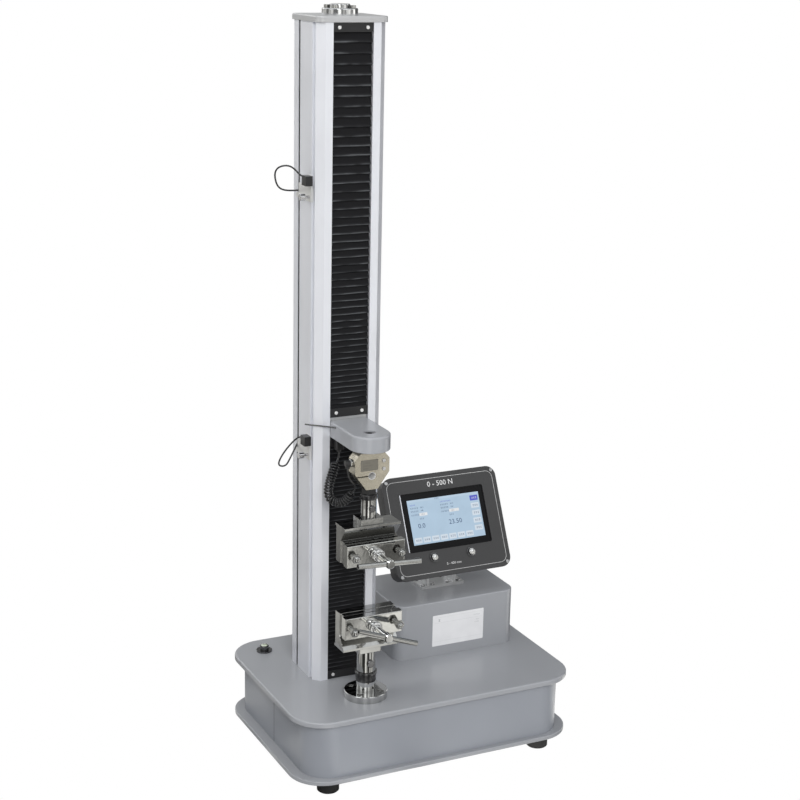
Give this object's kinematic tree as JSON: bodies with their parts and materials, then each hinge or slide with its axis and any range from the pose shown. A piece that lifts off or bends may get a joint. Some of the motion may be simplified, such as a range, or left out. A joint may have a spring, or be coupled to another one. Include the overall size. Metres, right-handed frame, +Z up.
{
  "type": "single-column universal testing machine",
  "caption": "Single-column tensile testing machine: grey base, tall post with black bellows, sliding crosshead with load cell, two screw grips and a tilting display on a console box.",
  "frame": {"origin": "on the floor under the centre of the base", "axes": "+Z up, -Y the front of the machine, +X to the right seen from the front"},
  "size_m": [0.56, 0.4045, 1.362],
  "materials": {
    "anodised": "satin anodised",
    "bellows_black": "coated cloth",
    "black_metal": "black oxide",
    "cell_nickel": "satin nickel",
    "cord_black": "smooth",
    "display": "gloss",
    "grey_paint": "semi-gloss",
    "guide_steel": "ground",
    "level_body": "turned",
    "motor_paint": "satin",
    "panel_case": "fine texture",
    "panel_grey": "fine texture",
    "plastic_black": "fine texture",
    "polished": "polished",
    "rubber_black": "matte",
    "side_strip": "satin",
    "skirt_paint": "semi-gloss",
    "steel": "ground",
    "strip_black": "satin"
  },
  "bodies": {
    "frame": {"feet": "rubber_black", "base_bottom_plate": "grey_paint", "base_top_plate": "grey_paint", "base_skirt": "skirt_paint", "power_inlet": "plastic_black", "rocker_frame": "plastic_black", "bubble_level": "level_body", "column_left": "anodised", "column_right": "anodised", "column_back": "side_strip", "column_cap": "anodised", "top_hub": "anodised", "cap_screws": "steel", "guide_rods": "guide_steel", "drive_motor": "motor_paint", "drive_belt": "rubber_black", "bellows_upper": "bellows_black", "bellows_lower": "bellows_black", "strips_fixed": "strip_black", "lower_flange": "polished", "lower_grip_body": "polished", "console_box": "grey_paint", "panel_bracket": "grey_paint", "pivot_bolt": "steel"},
    "screw": {"ball_screw": "guide_steel"},
    "motor": {"motor_pulley": "steel"},
    "crosshead": {"carriage": "side_strip", "ball_nut": "steel", "crosshead_arm": "grey_paint", "crosshead_fasteners": "steel", "strips_moving": "strip_black", "load_cell": "cell_nickel", "cell_stud": "black_metal", "cord_fittings": "black_metal", "cord_low_lead": "cord_black", "cord_coil": "cord_black", "cord_top_lead": "cord_black", "upper_grip_body": "polished"},
    "upper_jaw": {"upper_jaw": "polished"},
    "upper_screw": {"upper_screw": "polished"},
    "upper_tbar": {"upper_tbar": "polished"},
    "upper_ring": {"upper_lock_ring": "black_metal"},
    "upper_pin": {"upper_pin": "polished"},
    "lower_jaw": {"lower_jaw": "polished"},
    "lower_screw": {"lower_screw": "polished"},
    "lower_tbar": {"lower_tbar": "polished"},
    "lower_ring": {"lower_lock_ring": "black_metal"},
    "lower_pin": {"lower_pin": "polished"},
    "panel": {"panel_housing": "panel_case", "panel_front": "panel_grey", "panel_glass": "display"},
    "start_button": {"start_button": "steel"},
    "stop_button": {"stop_button": "steel"},
    "upper_limit": {"limit_upper": "plastic_black", "cable_upper": "cord_black"},
    "upper_thumb": {"thumb_upper": "steel"},
    "lower_limit": {"limit_lower": "plastic_black", "cable_lower": "cord_black"},
    "lower_thumb": {"thumb_lower": "steel"},
    "rocker": {"power_rocker": "plastic_black"}
  },
  "joints": [
    {"name": "screw_turn", "type": "hinge", "parent": "frame", "child": "screw", "pos_m": [-0.124, 0.032, 0.6], "axis": [0, 0, 1], "range_deg": [-28800, 1296]},
    {"name": "crosshead_slide", "type": "slide", "parent": "frame", "child": "crosshead", "axis": [0, 0, 1], "range_m": [-0.0182, 0.4005], "deforming": ["bellows_upper", "bellows_lower"]},
    {"name": "motor_turn", "type": "hinge", "parent": "frame", "child": "motor", "pos_m": [0.06, 0.032, 0.06], "axis": [0, 0, 1], "range_deg": [-57650, 2650]},
    {"name": "upper_clamp_turn", "type": "hinge", "parent": "upper_jaw", "child": "upper_screw", "pos_m": [-0.124, -0.164, 0.432], "axis": [0, 1, 0], "range_deg": [-360, 360]},
    {"name": "upper_jaw_slide", "type": "slide", "parent": "crosshead", "child": "upper_jaw", "axis": [0, 1, 0], "range_m": [-0.0051, 0.0051]},
    {"name": "upper_tbar_slide", "type": "slide", "parent": "upper_screw", "child": "upper_tbar", "axis": [0.9986, 0, -0.0523], "range_m": [-0.025, 0.025]},
    {"name": "lower_clamp_turn", "type": "hinge", "parent": "lower_jaw", "child": "lower_screw", "pos_m": [-0.124, -0.164, 0.294], "axis": [0, 1, 0], "range_deg": [-720, 0]},
    {"name": "lower_jaw_slide", "type": "slide", "parent": "frame", "child": "lower_jaw", "axis": [0, 1, 0], "range_m": [-0.0101, 0.0001]},
    {"name": "lower_tbar_slide", "type": "slide", "parent": "lower_screw", "child": "lower_tbar", "axis": [0.9397, 0, -0.342], "range_m": [-0.025, 0.025]},
    {"name": "upper_ring_turn", "type": "hinge", "parent": "crosshead", "child": "upper_ring", "pos_m": [-0.124, -0.114, 0.528], "axis": [0, 0, 1], "range_deg": [-90, 0]},
    {"name": "lower_ring_turn", "type": "hinge", "parent": "frame", "child": "lower_ring", "pos_m": [-0.124, -0.114, 0.188], "axis": [0, 0, 1], "range_deg": [-90, 0]},
    {"name": "upper_pin_pull", "type": "slide", "parent": "crosshead", "child": "upper_pin", "axis": [0, -1, 0], "range_m": [0, 0.04]},
    {"name": "lower_pin_pull", "type": "slide", "parent": "frame", "child": "lower_pin", "axis": [0, -1, 0], "range_m": [0, 0.045]},
    {"name": "panel_tilt", "type": "hinge", "parent": "frame", "child": "panel", "pos_m": [0.1165, 0.075, 0.33], "axis": [1, 0, 0], "range_deg": [-15, 20]},
    {"name": "start_press", "type": "slide", "parent": "panel", "child": "start_button", "axis": [0, 0.8988, -0.4384], "range_m": [0, 0.0025], "stiffness_N_per_m": 500},
    {"name": "stop_press", "type": "slide", "parent": "panel", "child": "stop_button", "axis": [0, 0.8988, -0.4384], "range_m": [0, 0.0025], "stiffness_N_per_m": 500},
    {"name": "upper_limit_slide", "type": "slide", "parent": "frame", "child": "upper_limit", "axis": [0, 0, 1], "range_m": [-0.3, 0.2]},
    {"name": "lower_limit_slide", "type": "slide", "parent": "frame", "child": "lower_limit", "axis": [0, 0, 1], "range_m": [-0.35, 0]},
    {"name": "upper_thumb_turn", "type": "hinge", "parent": "upper_limit", "child": "upper_thumb", "pos_m": [-0.2, 0.0025, 1.0401], "axis": [1, 0, 0], "range_deg": [-360, 0]},
    {"name": "lower_thumb_turn", "type": "hinge", "parent": "lower_limit", "child": "lower_thumb", "pos_m": [-0.2, 0.0025, 0.5775], "axis": [1, 0, 0], "range_deg": [-360, 0]},
    {"name": "rocker_tilt", "type": "hinge", "parent": "frame", "child": "rocker", "pos_m": [0.19, 0.1815, 0.086], "axis": [1, 0, 0], "range_deg": [0, 16]}
  ],
  "couplings": [
    {"joint": "crosshead_slide", "follows": "screw_turn", "m_per_rad": -0.00079577},
    {"joint": "motor_turn", "follows": "screw_turn", "ratio": 2},
    {"joint": "upper_jaw_slide", "follows": "upper_clamp_turn", "m_per_rad": 0.00079577},
    {"joint": "lower_jaw_slide", "follows": "lower_clamp_turn", "m_per_rad": 0.00079577}
  ]
}
